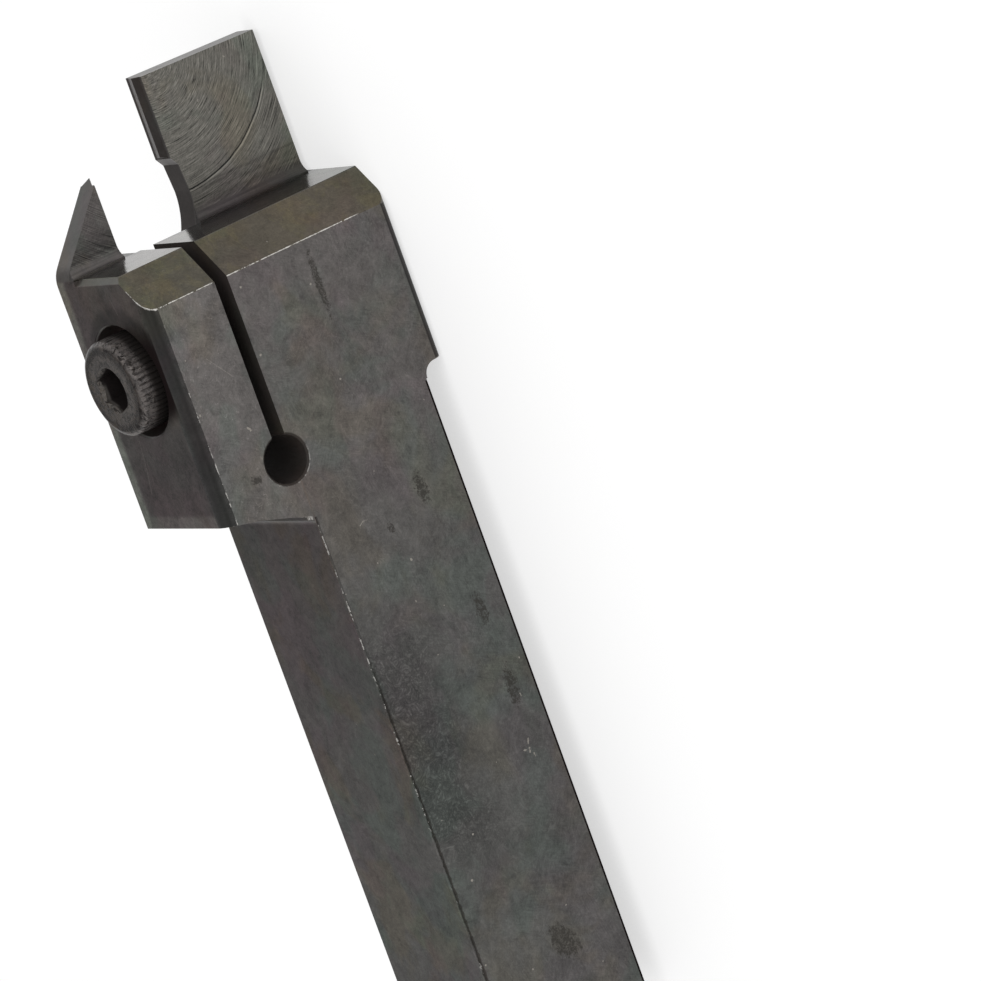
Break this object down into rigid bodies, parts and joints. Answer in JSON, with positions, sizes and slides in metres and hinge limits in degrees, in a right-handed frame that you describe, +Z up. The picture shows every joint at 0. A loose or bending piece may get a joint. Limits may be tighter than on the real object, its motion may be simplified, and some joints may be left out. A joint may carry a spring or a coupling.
{
  "type": "parting blade holder",
  "caption": "Square-shank lathe tool holder whose slotted head clamps a parting insert between a support blade and a finger with one socket head screw.",
  "frame": {"origin": "on the shank's underside, in the middle of its width and of the length that a tool post clamps", "axes": "+X along the shank to the blade's tip, +Y across it to the side that the blade is flush with, +Z up"},
  "size_m": [0.15, 0.025, 0.0461],
  "materials": {
    "holder_steel": "blackened, satin, with rubbed edges",
    "screw_steel": "blackened, satin, bright on the knurl's ridges"
  },
  "bodies": {
    "holder": {"holder_body": "holder_steel"},
    "screw": {"clamp_screw": "screw_steel"}
  },
  "joints": [
    {"name": "clamp_screw_turn", "type": "hinge", "parent": "holder", "child": "screw", "pos_m": [0.0641, -0.00145, 0.0342], "axis": [0, 0, 1], "range_deg": [0, 270]}
  ]
}
